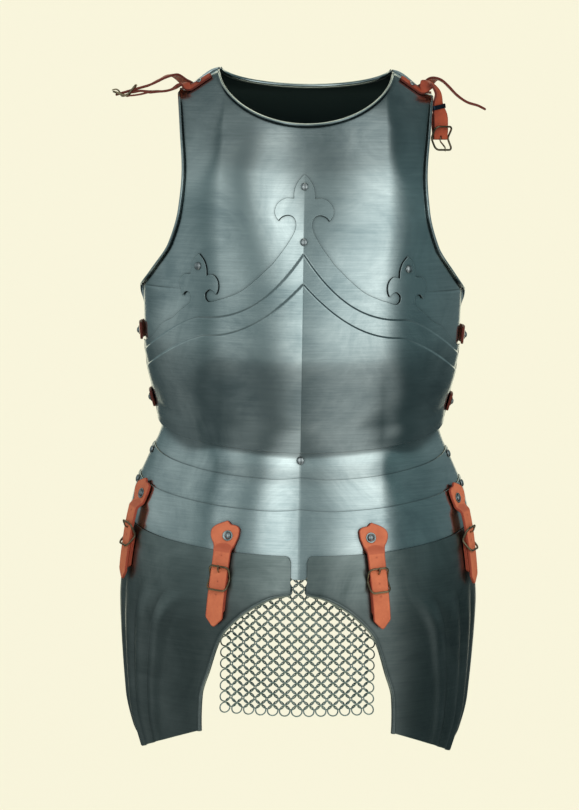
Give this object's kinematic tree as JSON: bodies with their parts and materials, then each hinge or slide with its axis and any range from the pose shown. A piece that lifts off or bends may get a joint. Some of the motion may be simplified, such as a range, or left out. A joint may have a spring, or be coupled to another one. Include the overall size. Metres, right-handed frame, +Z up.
{
  "type": "cuirass",
  "caption": "Steel cuirass: breastplate with fleur-de-lis edged plackart, backplate, lamed fauld and culet, strapped tassets and a mail skirt.",
  "frame": {"origin": "centre between the shoulders, where a stand carries the cuirass", "axes": "+Z up, front of the cuirass faces -Y, +X to the viewer's right"},
  "size_m": [0.4362, 0.288, 0.7782],
  "materials": {
    "steel": "satin",
    "dark_steel": "satin",
    "rivet_steel": "polished",
    "mail_steel": "satin",
    "tan_leather": "satin",
    "brown_leather": "matte",
    "brass": "antique"
  },
  "bodies": {
    "torso_front": {"breastplate": "steel", "plackart": "dark_steel", "plackart_rivets": "rivet_steel", "fauld_lame_1": "steel", "fauld_rivets_1": "rivet_steel", "side_straps_left": "brown_leather", "side_straps_right": "brown_leather", "side_strap_rivets": "rivet_steel", "shoulder_buckle_strap_left": "brown_leather", "shoulder_buckle_left": "brass", "shoulder_prong_left": "brass", "shoulder_buckle_strap_right": "brown_leather", "strap_keeper": "brass", "front_strap_rivets": "rivet_steel"},
    "torso_back": {"backplate": "steel", "culet_lame_1": "steel", "culet_rivets_1": "rivet_steel", "side_chapes_left": "brown_leather", "side_chapes_right": "brown_leather", "side_buckles_left": "brass", "side_buckles_right": "brass", "side_prongs_left": "brass", "side_prongs_right": "brass", "side_chape_rivets": "rivet_steel", "shoulder_tongue_left": "brown_leather", "shoulder_tongue_right": "brown_leather", "back_strap_rivets": "rivet_steel"},
    "culet_middle": {"culet_lame_2": "steel", "culet_rivets_2": "rivet_steel"},
    "culet_low": {"culet_lame_3": "steel", "culet_rivets_3": "rivet_steel"},
    "fauld_middle": {"fauld_lame_2": "steel", "fauld_rivets_2": "rivet_steel"},
    "fauld_low": {"fauld_lame_3": "steel", "fauld_rivets_3": "rivet_steel", "tasset_straps_left": "tan_leather", "tasset_straps_right": "tan_leather", "tasset_head_rivets": "rivet_steel", "mail_band": "brown_leather"},
    "left_tasset": {"tasset_left": "steel", "tasset_chapes_left": "tan_leather", "tasset_buckles_left": "brass", "tasset_prongs_left": "brass"},
    "right_tasset": {"tasset_right": "steel", "tasset_chapes_right": "tan_leather", "tasset_buckles_right": "brass", "tasset_prongs_right": "brass"},
    "mail": {"mail_skirt": "mail_steel"},
    "loose_buckle": {"shoulder_buckle_right": "brass"},
    "loose_prong": {"shoulder_prong_right": "brass"}
  },
  "joints": [
    {"name": "back_opening", "type": "hinge", "parent": "torso_front", "child": "torso_back", "pos_m": [-0.172, 0.01, -0.3], "axis": [0, 0, 1], "range_deg": [0, 60], "deforming": ["side_straps_left", "side_straps_right", "shoulder_tongue_left"]},
    {"name": "culet_middle_lift", "type": "hinge", "parent": "torso_back", "child": "culet_middle", "pos_m": [0, 0.012, -0.423], "axis": [1, 0, 0], "range_deg": [0, 5]},
    {"name": "culet_low_lift", "type": "hinge", "parent": "culet_middle", "child": "culet_low", "pos_m": [0, 0.014, -0.457], "axis": [1, 0, 0], "range_deg": [0, 5]},
    {"name": "fauld_middle_lift", "type": "hinge", "parent": "torso_front", "child": "fauld_middle", "pos_m": [0, -0.0134, -0.4253], "axis": [-1, 0, 0], "range_deg": [0, 5]},
    {"name": "fauld_low_lift", "type": "hinge", "parent": "fauld_middle", "child": "fauld_low", "pos_m": [0, -0.015, -0.4592], "axis": [-1, 0, 0], "range_deg": [0, 5]},
    {"name": "left_tasset_swing", "type": "hinge", "parent": "fauld_low", "child": "left_tasset", "pos_m": [-0.15321, -0.10027, -0.499], "axis": [-0.7324, 0.6808, 0], "range_deg": [0, 50], "deforming": ["tasset_straps_left"]},
    {"name": "right_tasset_swing", "type": "hinge", "parent": "fauld_low", "child": "right_tasset", "pos_m": [0.15321, -0.10027, -0.499], "axis": [-0.7324, -0.6808, 0], "range_deg": [0, 50], "deforming": ["tasset_straps_right"]},
    {"name": "mail_swing", "type": "hinge", "parent": "fauld_low", "child": "mail", "pos_m": [0, -0.1475, -0.5255], "axis": [1, 0, 0], "range_deg": [0, 30]},
    {"name": "loose_buckle_swing", "type": "hinge", "parent": "torso_front", "child": "loose_buckle", "pos_m": [0.153, -0.0125, -0.066], "axis": [-0.8336, -0.5524, 0], "range_deg": [-60, 18]},
    {"name": "loose_prong_lift", "type": "hinge", "parent": "loose_buckle", "child": "loose_prong", "pos_m": [0.153, -0.0125, -0.066], "axis": [-0.8336, -0.5524, 0], "range_deg": [0, 45]}
  ]
}
